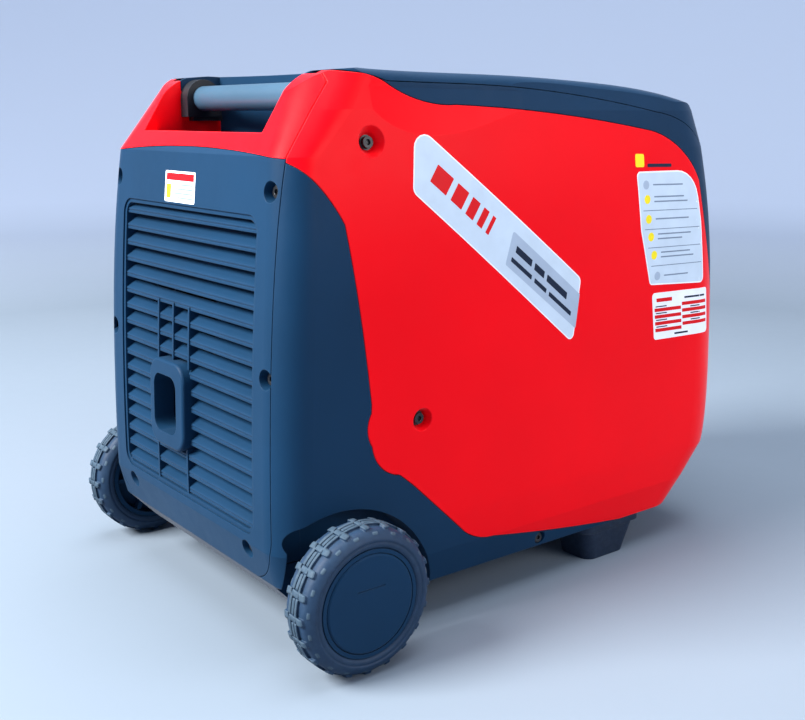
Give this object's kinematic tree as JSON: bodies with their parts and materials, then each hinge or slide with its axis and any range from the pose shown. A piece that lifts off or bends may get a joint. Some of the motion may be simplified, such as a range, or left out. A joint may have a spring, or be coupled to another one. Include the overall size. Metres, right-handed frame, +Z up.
{
  "type": "portable generator",
  "caption": "Closed-case inverter generator with carry handle, transport wheels, louvred exhaust end, control panel, recoil starter and fuel cap; engine and alternator modelled inside.",
  "frame": {"origin": "on the floor under the centre of the object's bounding box", "axes": "+X along the body towards the control panel, away from the wheels; +Y across it; +Z up"},
  "size_m": [0.6059, 0.4512, 0.4986],
  "materials": {
    "red_plastic": "satin gloss, fine moulded texture",
    "dark_plastic": "satin, fine moulded texture",
    "black_plastic": "satin",
    "grey_plastic": "satin",
    "control_red": "gloss",
    "control_green": "gloss",
    "tread_rubber": "matt, moulded tread",
    "rubber": "matt",
    "steel": "zinc plated",
    "black_steel": "satin black",
    "engine_paint": "satin",
    "aluminium": "as cast",
    "iron": "machined and cast",
    "brass": "turned",
    "clear_window": "gloss",
    "lamp_lens": "gloss, translucent",
    "cord_fibre": "braided"
  },
  "bodies": {
    "casing": {"side_cover_left": "red_plastic", "side_cover_right": "red_plastic", "rear_cowl": "red_plastic", "lower_casing_left": "dark_plastic", "lower_casing_right": "dark_plastic", "base_tray": "dark_plastic", "front_frame": "dark_plastic", "front_panel": "dark_plastic", "top_lid": "dark_plastic", "exhaust_end_panel": "dark_plastic", "louvre_grille": "dark_plastic", "exhaust_bezel": "dark_plastic", "handle_bar": "dark_plastic", "handle_brackets": "black_plastic", "rubber_feet": "rubber", "casing_screws": "black_steel", "axle": "steel", "axle_fittings": "steel", "control_panel": "dark_plastic", "display": "clear_window", "ac_sockets": "black_plastic", "flap_hinge_pins": "steel", "indicator_lamps": "lamp_lens", "service_ports": "black_plastic", "earth_terminal": "brass", "engine_base": "black_steel", "engine_mounts": "rubber", "crankcase": "aluminium", "cylinder": "aluminium", "cylinder_head": "aluminium", "rocker_cover": "black_steel", "stator": "iron", "fan_shroud": "black_steel", "recoil_housing": "black_steel", "fuel_tank": "black_plastic", "carburettor": "aluminium", "air_cleaner": "black_plastic", "muffler": "steel", "exhaust_pipe": "steel", "inverter_module": "aluminium", "battery": "black_plastic"},
    "left_wheel": {"tyre_left": "tread_rubber", "rim_left": "dark_plastic", "hub_cap_left": "dark_plastic"},
    "right_wheel": {"tyre_right": "tread_rubber", "rim_right": "dark_plastic", "hub_cap_right": "dark_plastic"},
    "rotating_group": {"crankshaft": "iron", "alternator_rotor": "iron", "cooling_fan": "black_plastic"},
    "pulley": {"recoil_pulley": "black_plastic"},
    "starter_grip": {"recoil_grip": "black_plastic", "recoil_cord": "cord_fibre"},
    "fuel_cap": {"fuel_cap": "black_plastic"},
    "engine_dial": {"engine_dial": "control_red"},
    "start_button": {"start_button": "control_green"},
    "breaker_button": {"breaker_button": "black_plastic"},
    "eco_rocker": {"eco_rocker": "black_plastic"},
    "left_socket_flap": {"socket_flap_left": "grey_plastic"},
    "right_socket_flap": {"socket_flap_right": "grey_plastic"}
  },
  "joints": [
    {"name": "left_wheel_spin", "type": "hinge", "parent": "casing", "child": "left_wheel", "pos_m": [-0.23685, -0.205, 0.066], "axis": [0, 1, 0], "continuous": true},
    {"name": "right_wheel_spin", "type": "hinge", "parent": "casing", "child": "right_wheel", "pos_m": [-0.23685, 0.205, 0.066], "axis": [0, 1, 0], "continuous": true},
    {"name": "crankshaft_spin", "type": "hinge", "parent": "casing", "child": "rotating_group", "pos_m": [0.00485, 0, 0.15], "axis": [1, 0, 0], "continuous": true},
    {"name": "recoil_pull", "type": "slide", "parent": "casing", "child": "starter_grip", "axis": [0, 1, 0], "range_m": [0, 0.26], "stiffness_N_per_m": 20, "springref_m": -0.15},
    {"name": "pulley_turn", "type": "hinge", "parent": "casing", "child": "pulley", "pos_m": [0.17485, 0, 0.15], "axis": [1, 0, 0], "range_deg": [-365, 5]},
    {"name": "fuel_cap_turn", "type": "hinge", "parent": "casing", "child": "fuel_cap", "pos_m": [0.07685, 0.052, 0.48], "axis": [0, 0, 1], "range_deg": [0, 90]},
    {"name": "engine_dial_turn", "type": "hinge", "parent": "casing", "child": "engine_dial", "pos_m": [0.26985, 0.066, 0.35], "axis": [-1, 0, 0], "range_deg": [0, 120]},
    {"name": "start_button_press", "type": "slide", "parent": "casing", "child": "start_button", "axis": [-1, 0, 0], "range_m": [0, 0.003], "stiffness_N_per_m": 600, "springref_m": -0.002},
    {"name": "breaker_button_press", "type": "slide", "parent": "casing", "child": "breaker_button", "axis": [-1, 0, 0], "range_m": [0, 0.003], "stiffness_N_per_m": 600, "springref_m": -0.002},
    {"name": "eco_rocker_tilt", "type": "hinge", "parent": "casing", "child": "eco_rocker", "pos_m": [0.26835, 0.004, 0.334], "axis": [0, 1, 0], "range_deg": [-12, 12]},
    {"name": "left_flap_swing", "type": "hinge", "parent": "casing", "child": "left_socket_flap", "pos_m": [0.27585, -0.078, 0.293], "axis": [0, -1, 0], "range_deg": [0, 120]},
    {"name": "right_flap_swing", "type": "hinge", "parent": "casing", "child": "right_socket_flap", "pos_m": [0.27585, -0.016, 0.293], "axis": [0, -1, 0], "range_deg": [0, 120]}
  ],
  "couplings": [
    {"joint": "pulley_turn", "follows": "recoil_pull", "rad_per_m": -24.096}
  ]
}
